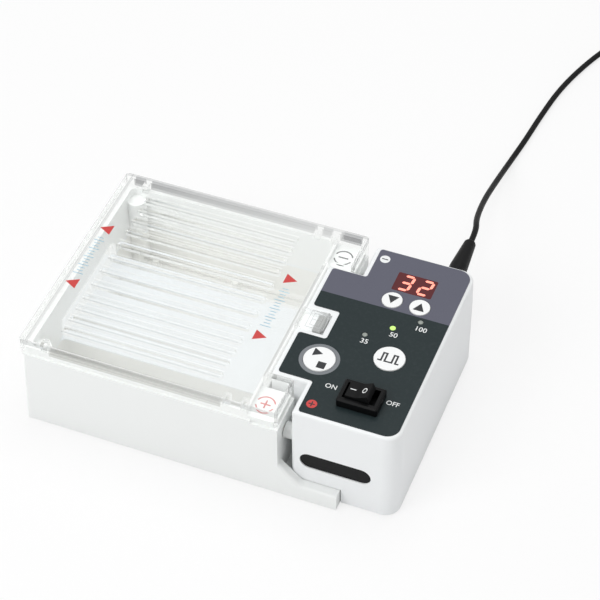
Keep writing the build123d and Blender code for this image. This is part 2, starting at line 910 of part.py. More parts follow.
def tube(points, name):
    """A lead of straight runs joined by tangent arcs, each as large as its runs allow."""
    at = [Vector(*p) for p in points]
    radii = []
    for before, here, after in zip(at, at[1:], at[2:]):
        first = here - before
        second = after - here
        shorter = min(first.length, second.length)
        radii.append(0.45 * shorter / tan(radians(first.get_angle(second)) / 2))
    print(name, "radii", [round(r, 1) for r in radii])
    path = FilletPolyline(*points, radius=radii)
    shape = sweep(Plane(origin=path @ 0, z_dir=path % 0) * Circle(lead_diameter / 2), path=path)
    section = pi * lead_diameter ** 2 / 4
    print(name, "length", round(path.length, 1), "volume ratio", round(shape.volume / (section * path.length), 4))
    return shape


def lead_coil():
    """The outer shape of the lead's coil."""
    x, y = ring_middle
    z = coil_ring_height / 2 + 0.1
    profile = Pos(coil_ring_radius, z) * RectangleRounded(coil_ring_width, coil_ring_height, 3.6)
    return Pos(x, y, 0) * revolve(Plane.XZ * profile, Axis.Z)


def mains_adapter():
    """The small plug-in power supply at the lead's far end, lying on its back."""
    x, y = adapter_middle
    a, b, h = adapter_size
    case = block(x - a / 2, x + a / 2, y - b / 2, y + b / 2, 0, h, adapter_corner)
    case = fillet(case.faces().sort_by(Axis.Z)[-1].edges(), 2.0)
    end = y + b / 2
    height = tail_points[-1][2]
    nose = rod_y(x, end - 1, end + adapter_nose_length, height, adapter_nose_radius)
    return case + nose


def adapter_blades():
    """The two flat blades."""
    x, y = adapter_middle
    t, w, h = blade
    top = adapter_size[2]
    group = []
    for side in (-1, 1):
        c = x + side * blade_spacing / 2
        group.append(block(c - t / 2, c + t / 2, y - 10 - w / 2, y - 10 + w / 2, top, top + h))
    return group


pieces = {
    "tank_body": tank_body,
    "anode_wire": lambda: wire(-1),
    "cathode_wire": lambda: wire(1),
    "wire_clips": wire_clips,
    "anode_socket": lambda: terminal(-1),
    "cathode_socket": lambda: terminal(1),
    "tank_feet": tank_feet,
    "gel_tray": gel_tray,
    "lid": lid,
    "interlock_magnet": interlock_magnet,
    "psu_base": psu_base,
    "psu_top_cover": psu_top_cover,
    "control_overlay": control_overlay,
    "display_window": display_window,
    "display_module": display_module,
    "indicator_leds": leds,
    "run_stop_button": lambda: button(run_button),
    "voltage_button": lambda: button(voltage_button),
    "down_button": lambda: button(down_button),
    "up_button": lambda: button(up_button),
    "tact_switches": tact_switches,
    "rocker_housing": rocker_housing,
    "rocker": rocker,
    "circuit_board": circuit_board,
    "reed_switch": reed_switch,
    "boost_coil": boost_coil,
    "capacitors": capacitors,
    "slot_insert": slot_insert,
    "output_sleeves": output_sleeves,
    "output_pins": output_pins,
    "psu_feet": psu_feet,
    "case_screws": case_screws,
    "dc_jack": dc_jack,
    "dc_plug": dc_plug,
    "dc_lead": lambda: tube(lead_points, "dc_lead"),
    "lead_coil": lead_coil,
    "lead_tail": lambda: tube(tail_points, "lead_tail"),
    "mains_adapter": mains_adapter,
    "adapter_blades": adapter_blades,
}

os.makedirs("parts", exist_ok=True)
for node, make in pieces.items():
    made = make()
    shape = Compound(children=made) if isinstance(made, list) else made
    export_step(shape, f"parts/{node}.step")
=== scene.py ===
import json
from math import cos, pi, radians, sin

import bpy
import numpy as np
from mathutils import Matrix, Vector


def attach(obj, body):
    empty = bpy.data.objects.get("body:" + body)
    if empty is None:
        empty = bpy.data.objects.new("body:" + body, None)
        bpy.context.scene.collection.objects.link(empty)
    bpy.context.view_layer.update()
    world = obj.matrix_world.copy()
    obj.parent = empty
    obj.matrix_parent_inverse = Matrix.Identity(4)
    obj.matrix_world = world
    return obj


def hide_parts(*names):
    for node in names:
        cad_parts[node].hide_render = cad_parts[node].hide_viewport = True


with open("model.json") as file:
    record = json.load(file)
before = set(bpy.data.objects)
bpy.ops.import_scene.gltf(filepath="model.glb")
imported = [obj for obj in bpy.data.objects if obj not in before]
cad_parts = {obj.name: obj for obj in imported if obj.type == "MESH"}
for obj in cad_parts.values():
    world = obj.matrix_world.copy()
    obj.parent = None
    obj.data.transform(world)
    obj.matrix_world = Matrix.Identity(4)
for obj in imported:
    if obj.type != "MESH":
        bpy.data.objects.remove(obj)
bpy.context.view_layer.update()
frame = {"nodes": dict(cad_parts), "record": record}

# Lengths are in metres and angles in degrees.

# Camera, solved from the straight edges of the housing
CAMERA_PLACE = (0.2920, -0.6650, 0.8178)
CAMERA_AZIMUTH = 21.81
CAMERA_ELEVATION = 46.24
CAMERA_ROLL = -0.53
CAMERA_LENS = 127.84
CAMERA_SENSOR = 36.0

# Lamps: place, width and power. Both look at the same point.
LAMPS = {
    "key_lamp": ((-0.75, -1.15, 1.25), 0.9, 11.0),
    "top_lamp": ((0.1, 0.35, 1.6), 1.2, 9.0),
}
LAMP_TARGET = (0.0, 0.0, 0.03)
SURROUND_LIGHT = 0.62
SURROUND_SEEN = 1.0
FLOOR_HALF = 3.0
FLOOR_WHITENESS = 0.72

# Lead: its route from the jack, its coil, and its way over the coil to the adapter
LEAD_POINTS = [
    (0.0811, 0.1024, 0.0340),
    (0.0811, 0.1124, 0.0340),
    (0.0770, 0.1252, 0.0294),
    (0.0737, 0.1510, 0.0194),
    (0.0726, 0.1800, 0.0086),
    (0.0729, 0.2036, 0.0018),
    (0.0756, 0.2246, 0.00175),
    (0.0776, 0.2470, 0.00175),
    (0.0814, 0.2760, 0.00175),
    (0.0905, 0.3060, 0.00175),
    (0.1015, 0.3300, 0.00175),
]
TAIL_POINTS = [
    (0.1124, 0.3700, 0.0089),
    (0.1140, 0.3788, 0.0111),
    (0.1215, 0.3860, 0.0114),
    (0.1320, 0.3900, 0.0093),
    (0.1425, 0.3898, 0.0035),
    (0.1570, 0.3872, 0.00175),
    (0.1720, 0.3790, 0.0021),
    (0.1778, 0.3625, 0.0029),
    (0.1780, 0.3470, 0.0036),
]
LEAD_RADIUS = 0.0016
COIL_MIDDLE = (0.129, 0.366)
COIL_COLUMNS = (0.0219, 0.0186, 0.0153)
COIL_LAYERS = (0.0017, 0.0049, 0.0081)
COIL_STEPS = 14
# The part of each turn that keeps its radius and height; the rest leads over to the next turn
COIL_STEADY = (0.05, 0.75)

# Places that the marks and the finishes share
RUN_KEY = (0.0447, -0.0226)
PULSE_KEY = (0.0761, -0.0103)
DOWN_KEY = (0.0641, 0.0270)
UP_KEY = (0.0785, 0.0270)
RIB_ROWS = (-0.049, -0.041, -0.033, -0.025, -0.015, -0.005, 0.005, 0.015, 0.025, 0.033, 0.041, 0.049)
RIB_HALF = 0.0016
RIB_FOOT = 0.0588

# Limits on the lid that its painted reflection glow and its painted shade bands follow
PAINTED_REFLECTION_LEFT, PAINTED_REFLECTION_LENGTH = -0.0900, 0.1150
PAINTED_REFLECTION_BACK, PAINTED_REFLECTION_DEPTH = 0.0500, 0.1000
PLATE_FLOOR = 0.0566
TABS_FROM = 0.0255
RIB_HIGHLIGHT_REACH = 0.0003
RIB_HIGHLIGHT_SPAN = (-0.0793, 0.0057)
RIB_SHADOW_ASIDE = 0.0028
RIB_SHADOW_HALF = 0.00016
RIB_SHADOW_SPAN = (-0.0790, 0.0045)
SKIRT_HEIGHTS = (0.0524, 0.0571)
SKIRT_Y = 0.0612
BACK_SKIRT_SPAN = (-0.0915, 0.0352)
FRONT_SKIRT_SPAN = (-0.0803, 0.0100)
STAYS = ((-0.0838, 0.0017), (0.0122, 0.0017), (0.0214, 0.0022))
RIM_LEFT, RIM_RIGHT, RIM_Y = -0.0958, 0.0385, 0.0632
RIM_FLOOR = 0.0560
RIM_STEP = (-0.0925, 0.0003)

# Limits of the tank's reservoirs and stage, and of the film's two colours
TANK_MIDDLE_X, TANK_REACH_X, TANK_REACH_Y = -0.0350, 0.0575, 0.0605
PIT_HEIGHTS = (0.0045, 0.0262)
STAGE_HEIGHTS = (0.0262, 0.0275)
FILM_SPLIT = 0.0208
RUN_KEY_RING = (0.0081, 0.0100)


class Sock:
    """A socket in a material's node tree. Expressions on it add the nodes that work them out."""

    def __init__(self, paint, out):
        self.paint = paint
        self.out = out

    def math(self, operation, *values, clamp=False):
        """The result of a math node."""
        return self.paint.node("ShaderNodeMath", {"operation": operation, "use_clamp": clamp}, *values)

    def __add__(self, other):
        return self.math("ADD", self, other)

    __radd__ = __add__

    def __mul__(self, other):
        return self.math("MULTIPLY", self, other)

    def __sub__(self, other):
        return self.math("SUBTRACT", self, other)

    def __rsub__(self, other):
        return self.math("SUBTRACT", other, self)

    def __truediv__(self, other):
        return self.math("DIVIDE", self, other)

    def __gt__(self, other):
        return self.math("GREATER_THAN", self, other)

    def __lt__(self, other):
        return self.math("LESS_THAN", self, other)

    def __abs__(self):
        return self.math("ABSOLUTE", self)

    def root(self):
        """The square root."""
        return self.math("SQRT", self)

    def limited(self):
        """The value kept between 0 and 1."""
        return self.math("MULTIPLY", self, 1.0, clamp=True)


class Paint:
    """One material's node tree and the shorthand that fills it."""

    def __init__(self, name):
        self.material = bpy.data.materials.new(name)
        self.material.use_nodes = True
        self.tree = self.material.node_tree
        self.tree.nodes.clear()
        self.out = self.tree.nodes.new("ShaderNodeOutputMaterial")
        self.place_node = None

    def node(self, kind, settings=None, *values, **named):
        """Adds a node: its settings, then its inputs in order, then inputs by name."""
        made = self.tree.nodes.new(kind)
        for key, value in (settings or {}).items():
            setattr(made, key, value)
        for index, value in enumerate(values):
            self.feed(made.inputs[index], value)
        for key, value in named.items():
            self.feed(made.inputs[key.replace("_", " ")], value)
        return Sock(self, made.outputs[0])

    def feed(self, socket, value):
        """Links a socket, or sets its own value. A colour of three parts gets its fourth."""
        if isinstance(value, Sock):
            self.tree.links.new(value.out, socket)
            return
        if hasattr(socket.default_value, "__len__") and len(socket.default_value) == len(value) + 1:
            value = (*value, 1.0)
        socket.default_value = value

    def place(self):
        """Object coordinates."""
        if self.place_node is None:
            self.place_node = self.tree.nodes.new("ShaderNodeTexCoord")
        return Sock(self, self.place_node.outputs["Object"])

    def axes(self):
        """The three object coordinates, each a number."""
        made = self.tree.nodes.new("ShaderNodeSeparateXYZ")
        self.feed(made.inputs[0], self.place())
        return [Sock(self, out) for out in made.outputs]

    def ray(self, kind):
        """1 for light rays of a kind, 0 for others."""
        return Sock(self, self.tree.nodes.new("ShaderNodeLightPath").outputs[kind])

    def noise(self, scale, detail=2.0, roughness=0.5):
        """Cloudy noise from 0 to 1."""
        return self.node("ShaderNodeTexNoise", None, Vector=self.place(), Scale=scale, Detail=detail,
                         Roughness=roughness)

    def blend(self, mask, first, second):
        """first where the mask is 0, second where it is 1."""
        made = self.tree.nodes.new("ShaderNodeMix")
        made.data_type = "RGBA"
        self.feed(made.inputs[0], mask)
        self.feed(made.inputs[6], first)
        self.feed(made.inputs[7], second)
        return Sock(self, made.outputs[2])

    def bump(self, height, strength, distance):
        """A normal that follows a height."""
        return self.node("ShaderNodeBump", None, Strength=strength, Distance=distance, Height=height)

    def surface(self, **named):
        """A Principled shader with the given inputs."""
        return self.node("ShaderNodeBsdfPrincipled", None, **named)

    def finish(self, shader):
        """Sends a shader to the output and returns the material."""
        self.tree.links.new(shader.out, self.out.inputs["Surface"])
        return self.material


def shade(*rgb):
    """A colour as a screen shows it, 0 to 255, as the linear values that a shader takes."""
    return tuple((v / 255 / 12.92) if v / 255 <= 0.04045 else ((v / 255 + 0.055) / 1.055) ** 2.4 for v in rgb)


def dimmed(colour, share):
    """A colour with each part times a share."""
    return tuple(c * share for c in colour)


def between(value, low, high):
    """1 where a value lies between two limits, 0 elsewhere."""
    return (value > low) * (value < high)


def near(value, middle, reach):
    """1 where a value lies within a reach of a middle, 0 elsewhere."""
    return abs(value - middle) < reach


# Finishes

def moulded(name, colour, roughness=0.36, grain=0.05, tones=None):
    """Satin moulded plastic: a faint cloudiness in colour and gloss and a fine grain."""
    p = Paint(name)
    cloud = p.noise(18.0, 3.0)
    tone = p.blend((cloud - 0.5) * 0.5 + 0.5, dimmed(colour, 0.985), colour)
    if tones:
        tone = tones(p, tone)
    return p.finish(p.surface(
        Base_Color=tone,
        Roughness=(p.noise(55.0, 2.0) - 0.5) * 0.08 + roughness,
        Normal=p.bump(p.noise(2600.0, 2.0, 0.6), grain, 0.0004),
        Specular_IOR_Level=0.5,
    ))


def plain(name, colour, roughness=0.4, metallic=0.0, grain=0.04, scale=1500.0, gloss=0.5):
    """A small part's finish: one colour with slight wear in its gloss and a fine grain."""
    p = Paint(name)
    cloud = p.noise(120.0, 3.0)
    return p.finish(p.surface(
        Base_Color=p.blend(cloud, dimmed(colour, 0.9), colour),
        Metallic=metallic,
        Roughness=(cloud - 0.5) * 0.16 + roughness,
        Normal=p.bump(p.noise(scale, 2.0), grain, 0.0003),
        Specular_IOR_Level=gloss,
    ))


def clear(name, tint, painted_glow_share, bend, painted_shade_bands=None):
    """Clear moulded plastic: it bends light a little, has a white painted glow mixed in that stands for
    reflected light, and lets shadow rays through.
    """
    p = Paint(name)
    colour = painted_shade_bands(p, tint) if painted_shade_bands else tint
    body = p.surface(Base_Color=colour, Roughness=0.02, Transmission_Weight=1.0, IOR=bend)
    # Painted reflection: a white glow mixed into the clear body
    painted_glow = p.node("ShaderNodeEmission", None, (0.93, 0.94, 0.93), 1.0)
    with_painted_glow = p.node("ShaderNodeMixShader", None, painted_glow_share(p), body, painted_glow)
    through = p.node("ShaderNodeBsdfTransparent", None, (0.97, 0.97, 0.97))
    return p.finish(p.node("ShaderNodeMixShader", None, p.ray("Is Shadow Ray"), with_painted_glow, through))


def lid_painted_reflection(p):
    """The share of painted reflection glow on the lid: it grows to the right and to the front and drifts a
    little, and painted highlights lie along the ribs' edges.
    """
    x, y, z = p.axes()
    along = ((x - PAINTED_REFLECTION_LEFT) / PAINTED_REFLECTION_LENGTH).limited()
    front = ((PAINTED_REFLECTION_BACK - y) / PAINTED_REFLECTION_DEPTH).limited()
    plate = z > PLATE_FLOOR
    tabs = x > TABS_FROM
    # Painted highlights along the edges of the ribs
    ribs = 0.0
    for middle in RIB_ROWS:
        edges = near(abs(y - middle), RIB_HALF, RIB_HIGHLIGHT_REACH)
        ribs = ribs + edges * (z > RIB_FOOT) * between(x, *RIB_HIGHLIGHT_SPAN) * 0.45
    drift = (p.noise(30.0, 2.0) - 0.5) * 0.05
    return (along * 0.17 + front * 0.08 + 0.04 + plate * 0.08 - tabs * 0.20 + drift + ribs).limited()


def lid_painted_shade(p, tint):
    """Painted shade: darker bands on the skirts between the stays, where the shaded inside of the tank shows
    through, painted shadow lines beside the ribs, and painted shade along the rims.
    """
    x, y, z = p.axes()
    skirt = between(z, *SKIRT_HEIGHTS)
    stays = 0.0
    for middle, reach in STAYS:
        stays = stays + near(x, middle, reach)
    back = (skirt * (y > SKIRT_Y) * between(x, *BACK_SKIRT_SPAN) * (1 - stays)).limited()
    front = skirt * (y < -SKIRT_Y) * between(x, *FRONT_SKIRT_SPAN)
    # Painted shade: the tank's shaded inside seen through the back and front skirts
    tint = p.blend(back * 0.9, tint, shade(112, 113, 116))
    tint = p.blend(front * 0.7, tint, shade(150, 148, 140))
    # Painted shadow lines beside the ribs
    for middle in RIB_ROWS:
        line = near(y, middle - RIB_SHADOW_ASIDE, RIB_SHADOW_HALF)
        line = line * (z > RIB_FOOT) * between(x, *RIB_SHADOW_SPAN)
        tint = p.blend(line * 0.75, tint, shade(96, 98, 102))
    # Painted shade along the lid's rims
    rims = (x < RIM_LEFT) + (x > RIM_RIGHT) + (abs(y) > RIM_Y) + near(x, *RIM_STEP)
    return p.blend((rims * (z > RIM_FLOOR)).limited() * 0.6, tint, shade(120, 122, 124))


def panel_film():
    """The printed film: slate above, dark teal grey below, a grey ring round the large left key."""
    p = Paint("panel_print")
    x, y, _ = p.axes()
    colour = p.blend(y > FILM_SPLIT, shade(30, 42, 44), shade(92, 93, 106))
    aside, ahead = x - RUN_KEY[0], y - RUN_KEY[1]
    ring = between((aside * aside + ahead * ahead).root(), *RUN_KEY_RING)
    colour = p.blend(ring, colour, shade(122, 126, 130))
    mottle = (p.noise(700.0, 2.0) - 0.5) * 0.12
    return p.finish(p.surface(
        Base_Color=p.blend(mottle, colour, shade(120, 128, 130)),
        Roughness=(p.noise(90.0, 2.0) - 0.5) * 0.1 + 0.42,
        Normal=p.bump(p.noise(3000.0, 2.0), 0.12, 0.0002),
        Specular_IOR_Level=0.25,
    ))


def glow(name, colour, strength):
    """Something lit from within."""
    p = Paint(name)
    return p.finish(p.surface(
        Base_Color=dimmed(colour, 0.5), Roughness=0.4,
        Emission_Color=p.blend(p.noise(900.0, 1.0), dimmed(colour, 0.92), colour), Emission_Strength=strength,
    ))


def tank_shade_and_tint(p, tone):
    """Painted shade in the reservoirs, where the moulding is a little warmer and greyer; bluish on the gel
    stage.
    """
    x, y, z = p.axes()
    inside = near(x, TANK_MIDDLE_X, TANK_REACH_X) * (abs(y) < TANK_REACH_Y)
    # Painted shade: the deep reservoirs darkened and warmed
    tone = p.blend(inside * between(z, *PIT_HEIGHTS) * 0.6, tone, shade(228, 227, 219))
    return p.blend(inside * between(z, *STAGE_HEIGHTS), tone, shade(232, 238, 242))


def red_filter():
    """The dark red filter over the digits."""
    p = Paint("window_red")
    return p.finish(p.surface(
        Base_Color=p.blend(p.noise(60.0, 2.0), shade(96, 30, 34), shade(78, 24, 28)), Roughness=0.12,
    ))


MATERIALS = {
    "tank_white": moulded("tank_white", shade(238, 240, 239), tones=tank_shade_and_tint),
    "unit_white": moulded("unit_white", shade(238, 240, 241)),
    # Clear parts with a painted glow: the lid's follows its painted reflection share, the tray's is even
    "lid_clear": clear("lid_clear", (0.985, 0.99, 0.985), lid_painted_reflection, 1.16, lid_painted_shade),
    "tray_clear": clear("tray_clear", (0.97, 0.985, 0.99), lambda p: 0.35, 1.10),
    "panel_print": panel_film(),
    "window_red": red_filter(),
    "black_plastic": plain("black_plastic", shade(5, 6, 7), 0.45, gloss=0.18),
    "key_white": moulded("key_white", shade(240, 241, 241), 0.34, 0.03),
    "key_grey": plain("key_grey", shade(206, 208, 207), 0.45),
    "lamp_lens": plain("lamp_lens", shade(150, 156, 150), 0.25),
    "board_green": plain("board_green", shade(32, 92, 58), 0.4),
    "coil_dark": plain("coil_dark", shade(60, 50, 42), 0.5),
    "can_metal": plain("can_metal", shade(150, 152, 156), 0.3, 0.8),
    "electrode_metal": plain("electrode_metal", shade(196, 194, 188), 0.2, 1.0),
    "terminal_metal": plain("terminal_metal", shade(214, 178, 104), 0.25, 1.0),
    "blade_metal": plain("blade_metal", shade(200, 200, 198), 0.25, 1.0),
    "screw_steel": plain("screw_steel", shade(150, 152, 154), 0.3, 1.0),
    "foot_rubber": plain("foot_rubber", shade(44, 44, 45), 0.8, grain=0.2),
    "cord_black": plain("cord_black", shade(5, 5, 6), 0.5, scale=2600.0, gloss=0.25),
}
PRINT_WHITE = plain("print_white", shade(236, 238, 238), 0.5)
PRINT_RED = plain("print_red", shade(204, 62, 60), 0.45)
PRINT_BLUE = plain("print_blue", shade(150, 188, 205), 0.5)
PRINT_BLACK = plain("print_black", shade(40, 42, 46), 0.5)
PRINT_PALE = plain("print_pale", shade(176, 178, 178), 0.5)
SEGMENT_RED = glow("segment_red", (1.0, 0.30, 0.22), 1.3)
LAMP_GREEN = glow("lamp_green", (0.55, 0.85, 0.20), 0.8)


def dress_nodes():
    """Gives every CAD node its finish."""
    slots = {row["node"]: row["material_slot"] for row in frame["record"]["subparts"]}
    for node, piece in frame["nodes"].items():
        piece.data.materials.clear()
        piece.data.materials.append(MATERIALS[slots[node]])


# Camera, light and floor

def add_object(name, data):
    """An object in the scene, at the origin."""
    made = bpy.data.objects.new(name, data)
    bpy.context.collection.objects.link(made)
    return made


def make_camera():
    """The camera at the photograph's angle."""
    a, e, t = radians(CAMERA_AZIMUTH), radians(CAMERA_ELEVATION), radians(CAMERA_ROLL)
    ahead = Vector((-sin(a) * cos(e), cos(a) * cos(e), -sin(e)))
    right = Vector((cos(a), sin(a), 0.0))
    up = right.cross(ahead)
    side = right * cos(t) + up * sin(t)
    top = up * cos(t) - right * sin(t)
    data = bpy.data.cameras.new("camera")
    data.lens = CAMERA_LENS
    data.sensor_width = CAMERA_SENSOR
    data.clip_start = 0.01
    camera = add_object("camera", data)
    turn = Matrix((side, top, -ahead)).transposed().to_4x4()
    camera.matrix_world = Matrix.Translation(CAMERA_PLACE) @ turn
    bpy.context.scene.camera = camera


def set_light():
    """A key lamp from the front left, a top lamp, and an even surround that looks brighter than it lights."""
    for name, (place, width, power) in LAMPS.items():
        data = bpy.data.lights.new(name, "AREA")
        data.shape = "SQUARE"
        data.size = width
        data.energy = power
        light = add_object(name, data)
        light.location = place
        light.rotation_euler = (Vector(LAMP_TARGET) - Vector(place)).to_track_quat("-Z", "Y").to_euler()
    world = bpy.data.worlds.new("surround")
    bpy.context.scene.world = world
    world.use_nodes = True
    tree = world.node_tree
    tree.nodes.clear()
    out = tree.nodes.new("ShaderNodeOutputWorld")
    mix = tree.nodes.new("ShaderNodeMixShader")
    path = tree.nodes.new("ShaderNodeLightPath")
    tree.links.new(path.outputs["Is Camera Ray"], mix.inputs[0])
    for entry, strength in ((1, SURROUND_LIGHT), (2, SURROUND_SEEN)):
        white = tree.nodes.new("ShaderNodeBackground")
        white.inputs["Color"].default_value = (1.0, 1.0, 1.0, 1.0)
        white.inputs["Strength"].default_value = strength
        tree.links.new(white.outputs[0], mix.inputs[entry])
    tree.links.new(mix.outputs[0], out.inputs["Surface"])


def make_floor():
    """A plain pale floor that shows white and keeps a light shadow."""
    mesh = bpy.data.meshes.new("floor")
    corners = [(sx * FLOOR_HALF, sy * FLOOR_HALF, 0) for sx, sy in ((-1, -1), (1, -1), (1, 1), (-1, 1))]
    mesh.from_pydata(corners, [], [(0, 1, 2, 3)])
    p = Paint("floor_white")
    matt = p.node("ShaderNodeBsdfDiffuse", None, (0.86, 0.86, 0.86))
    white = p.node("ShaderNodeEmission", None, (1.0, 1.0, 1.0), 1.0)
    seen = (p.ray("Is Camera Ray") + p.ray("Is Transmission Ray")) * FLOOR_WHITENESS
    mesh.materials.append(p.finish(p.node("ShaderNodeMixShader", None, seen, matt, white)))
    add_object("floor", mesh)


# The lead

def coil_points():
    """Turns of the coil at time t: middle + r(t) (cos a, sin a) and height h(t), with a = pi - 2 pi t.

    r and h keep a turn's column and layer over its steady part and lead over to the next turn's evenly.
    """
    columns = [COIL_COLUMNS[::1 if layer % 2 == 0 else -1] for layer in range(len(COIL_LAYERS))]
    radii = np.ravel(columns)
    heights = np.repeat(COIL_LAYERS, len(COIL_COLUMNS))
    t = np.arange(len(radii) * COIL_STEPS) / COIL_STEPS
    knots = (np.arange(len(radii))[:, None] + COIL_STEADY).ravel()
    radius = np.interp(t, knots, np.repeat(radii, 2))
    height = np.interp(t, knots, np.repeat(heights, 2))
    angle = pi - 2 * pi * t
    return np.column_stack((
        COIL_MIDDLE[0] + radius * np.cos(angle), COIL_MIDDLE[1] + radius * np.sin(angle), height,
    ))


def make_lead():
    """The lead: its route, its coil and its tail, one smooth curve with a round section."""
    points = np.vstack((LEAD_POINTS, coil_points(), TAIL_POINTS))
    curve = bpy.data.curves.new("power_lead", "CURVE")
    curve.dimensions = "3D"
    spline = curve.splines.new("NURBS")
    spline.points.add(len(points) - 1)
    spline.points.foreach_set("co", np.column_stack((points, np.ones(len(points)))).ravel())
    spline.order_u = 3
    spline.use_endpoint_u = True
    spline.resolution_u = 8
    curve.bevel_depth = LEAD_RADIUS
    curve.bevel_resolution = 5
    curve.use_fill_caps = True
    curve.materials.append(MATERIALS["cord_black"])
    lead = add_object("power_lead", curve)
    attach(lead, "power_unit")
    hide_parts("dc_lead", "lead_coil", "lead_tail")


# Marks: thin flat plates that lie on the film, the keys, the lid and the tank's ears

MARK = 0.00004
ROUND_STEPS = 48
FILM_TOP = 0.0577
WINDOW_TOP = 0.05775
LENS_TOP = 0.0579
KEY_TOP = 0.0582
LID_TOP = 0.0590
EAR_TOP = 0.0500

LIT_LAMP = (0.0708, 0.0092)
LIT_LAMP_RADIUS = 0.00145
NUMBER_SIZE = 0.0042
WORD_SIZE = 0.0038
LETTER_THICK = 0.00006
LETTER_SPREAD = 0.00003
PANEL_WORDS = (
    ("100", 0.0838, 0.0132, NUMBER_SIZE),
    ("50", 0.0726, 0.0050, NUMBER_SIZE),
    ("35", 0.0607, -0.0038, NUMBER_SIZE),
    ("ON", 0.0562, -0.0370, WORD_SIZE),
    ("OFF", 0.0872, -0.0368, WORD_SIZE),
)
PLUS_DISC = (0.0515, -0.0504)
MINUS_DISC = (0.0512, 0.0526)
DISC_RADIUS = 0.0026
# A sign's reach and the half width of its bars
DISC_SIGN = (0.0016, 0.0003)

# An arrowhead's base behind its place, its tip ahead of it, and its half width
KEY_ARROW = (0.0026, 0.0026, 0.0029)
LID_ARROW = (0.0030, 0.0035, 0.0034)
START_SIGN = ((-0.0042, 0.0008), (0.0006, 0.0034), (-0.0042, 0.0060))
STOP_SIGN = (0.0002, 0.0044, -0.0058, -0.0016)
PULSE_HALF, PULSE_STEP, PULSE_REACH = 0.00045, 0.0018, 0.0030

# Each side of the lid: the x of its scale and the way its arrowheads point
LID_SIDES = (("left", -0.0884, -1), ("right", 0.0127, 1))
LID_ENDS = (("back", 0.0209), ("front", -0.0198))
TICK_ROWS = np.linspace(-0.0128, 0.0140, 14)
TICK_LONG, TICK_SHORT, TICK_HALF = 0.0028, 0.0016, 0.00022
LONG_EVERY = 3
LID_KEY = (0.0298, 0.0398, -0.0064, 0.0062)
LID_KEY_FRAMES = (("outer", 0.0006), ("inner", 0.0024))
LID_KEY_LINE = 0.00022
LID_KEY_BAR = (0.0322, 0.0374, -0.0002, 0.0000)

# Middles of a digit's bars in shares of its width and half height, and whether each stands upright
SEGMENTS = {
    "a": (0.0, 1.0, False), "b": (0.5, 0.5, True), "c": (0.5, -0.5, True), "d": (0.0, -1.0, False),
    "e": (-0.5, -0.5, True), "f": (-0.5, 0.5, True), "g": (0.0, 0.0, False),
}
DIGITS = (("abcdg", 0.0668), ("abged", 0.0768))
DIGIT_MIDDLE = 0.0405
DIGIT_WIDE = 0.0050
DIGIT_HIGH = 0.0048
DIGIT_THICK = 0.0007
DIGIT_GAP = 0.00025
DIGIT_LEAN = 0.12

# The rocker switch: its pivot, the lowest point of its dished face above that, and the dish's slope
ROCKER_PIVOT = (0.0726, -0.0401, 0.0605)
ROCKER_VALLEY = 0.0037
ROCKER_DISH = 14.0
ROCKER_TILT = 14.0
ROCKER_LIFT = 0.00003
ROCKER_BAR = (-0.0044, -0.0016, -0.00025, 0.00025)
ROCKER_RING = (0.0011, 0.0016)
ROCKER_RING_NARROW = 0.8
ROCKER_RING_PLACE = 0.0029

EAR_X = 0.0288
EAR_Y = 0.0527
EAR_RING = (0.0043, 0.0050)
EAR_ARC = 140.0
EAR_ARC_STARTS = (("near", 200.0), ("far", 20.0))
EAR_SIGN = (0.0026, 0.0004)


def add_piece(name, mesh, material, body):
    """Shows a mesh as a piece that rides on a body, in one finish."""
    mesh.materials.clear()
    mesh.materials.append(material)
    piece = add_object(name, mesh)
    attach(piece, body)


def put(name, shape, material, body):
    """A piece from a shape's points and faces."""
    points, faces = shape
    mesh = bpy.data.meshes.new(name)
    mesh.from_pydata(points.tolist(), [], faces)
    add_piece(name, mesh, material, body)


def slab(outlines, z):
    """Flat plates: each outline, a closed ring (x, y) against the clock, at the heights z and z + MARK."""
    points, faces, start = [], [], 0
    for outline in outlines:
        ring = np.asarray(outline, float)
        n = len(ring)
        points += [np.column_stack((ring, np.full(n, height))) for height in (z, z + MARK)]
        here = start + np.arange(n)
        ahead = np.roll(here, -1)
        walls = np.column_stack((here, ahead, ahead + n, here + n))
        faces += [(here + n).tolist(), here[::-1].tolist(), *walls.tolist()]
        start += 2 * n
    return np.vstack(points), faces


def ring_band(cx, cy, radii, z, start=0.0, sweep=360.0):
    """A flat band: corners (cx + r cos a, cy + r sin a, h) with a from start over sweep.

    r and h go round the section: inner and outer at z, outer and inner at z + MARK. A part of a ring is
    closed by its end sections.
    """
    inner, outer = radii
    whole = sweep >= 360.0
    n = ROUND_STEPS if whole else ROUND_STEPS + 1
    angle = np.radians(start + sweep * np.arange(n) / ROUND_STEPS)[:, None]
    radius = np.array([inner, outer, outer, inner])
    x = cx + radius * np.cos(angle)
    y = cy + radius * np.sin(angle)
    height = np.broadcast_to([z, z, z + MARK, z + MARK], x.shape)
    points = np.stack((x, y, height), axis=-1).reshape(-1, 3)
    section = np.arange(ROUND_STEPS)[:, None]
    here = 4 * section + np.arange(4)
    ahead = 4 * ((section + 1) % n) + np.arange(4)
    walls = np.stack((here, ahead, np.roll(ahead, -1, axis=1), np.roll(here, -1, axis=1)), axis=-1)
    faces = walls.reshape(-1, 4).tolist()
    if not whole:
        last = 4 * (n - 1)
        faces += [[0, 1, 2, 3], [last + 3, last + 2, last + 1, last]]
    return points, faces


def circle(cx, cy, radius):
    """A round outline: (cx + radius cos a, cy + radius sin a) at even angles a."""
    angle = np.linspace(0, 2 * pi, ROUND_STEPS, endpoint=False)
    return np.column_stack((cx + radius * np.cos(angle), cy + radius * np.sin(angle)))


def bar(x0, x1, y0, y1):
    """A rectangle's outline."""
    return [(x0, y0), (x1, y0), (x1, y1), (x0, y1)]


